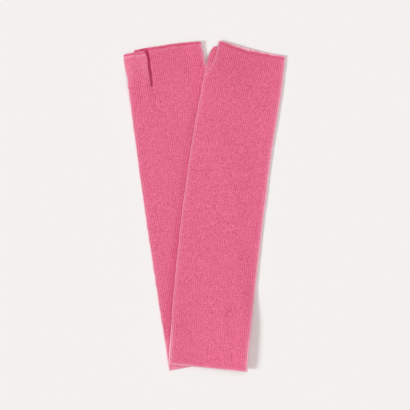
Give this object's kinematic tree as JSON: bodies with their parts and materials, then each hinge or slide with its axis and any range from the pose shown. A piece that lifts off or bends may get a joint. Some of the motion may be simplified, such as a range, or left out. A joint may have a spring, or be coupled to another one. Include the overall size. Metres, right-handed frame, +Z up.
{
  "type": "pair of knitted arm warmers",
  "caption": "Pair of long fine-knit arm warmers with open thumb tubes and rolled finger edges, laid flat with one lying across the other.",
  "frame": {"origin": "on the surface that the pair lies on, under the middle of the box round both warmers", "axes": "+Z up, away from the surface; +Y from the arm openings towards the finger edges; +X towards the right warmer's far side"},
  "size_m": [0.2035, 0.4145, 0.0107],
  "materials": {
    "pink_knit": "matte fine wool stockinette, machine knitted"
  },
  "bodies": {
    "root": {"left_arm_tube": "pink_knit", "left_hand_tube": "pink_knit", "left_thumb_tube": "pink_knit", "right_arm_tube": "pink_knit", "right_hand_tube": "pink_knit", "right_thumb_tube": "pink_knit"}
  },
  "joints": []
}
